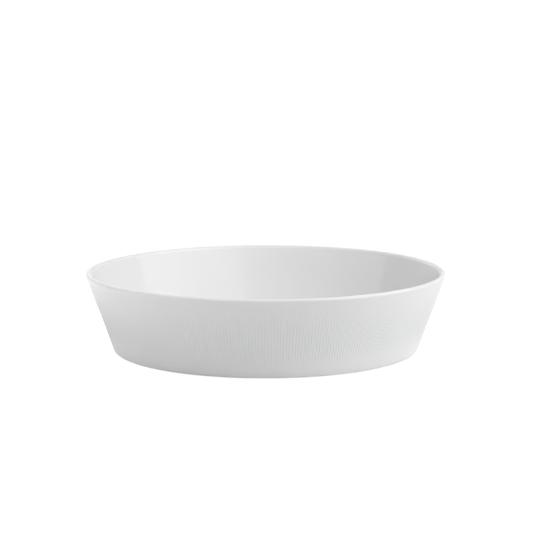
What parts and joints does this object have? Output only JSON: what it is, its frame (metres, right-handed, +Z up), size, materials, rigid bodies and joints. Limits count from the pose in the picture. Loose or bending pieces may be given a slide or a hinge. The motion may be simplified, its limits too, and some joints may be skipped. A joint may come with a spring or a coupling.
{
  "type": "serving bowl",
  "caption": "Round, low porcelain serving bowl with a flat floor, a straight flared wall with fine upright flutes outside, a plain rounded lip and a low foot ring.",
  "frame": {"origin": "centre of the plane that the foot ring stands on", "axes": "+Z up along the bowl's axis, out of its mouth; +X and +Y are any two directions across it, because it is round"},
  "size_m": [0.24, 0.24, 0.055],
  "materials": {
    "porcelain": "fired white porcelain, covered by the glaze",
    "bare_foot": "bare fired porcelain, ground smooth and matt",
    "glossy_glaze": "clear glossy glaze over white",
    "satin_glaze": "satin glaze over white, finely fluted",
    "underside_glaze": "satin glaze over white, smooth"
  },
  "bodies": {
    "root": {"porcelain_body": "porcelain", "foot_ring": "bare_foot", "inside_glaze": "glossy_glaze", "outside_glaze": "satin_glaze", "underside_glaze": "underside_glaze"}
  },
  "joints": []
}
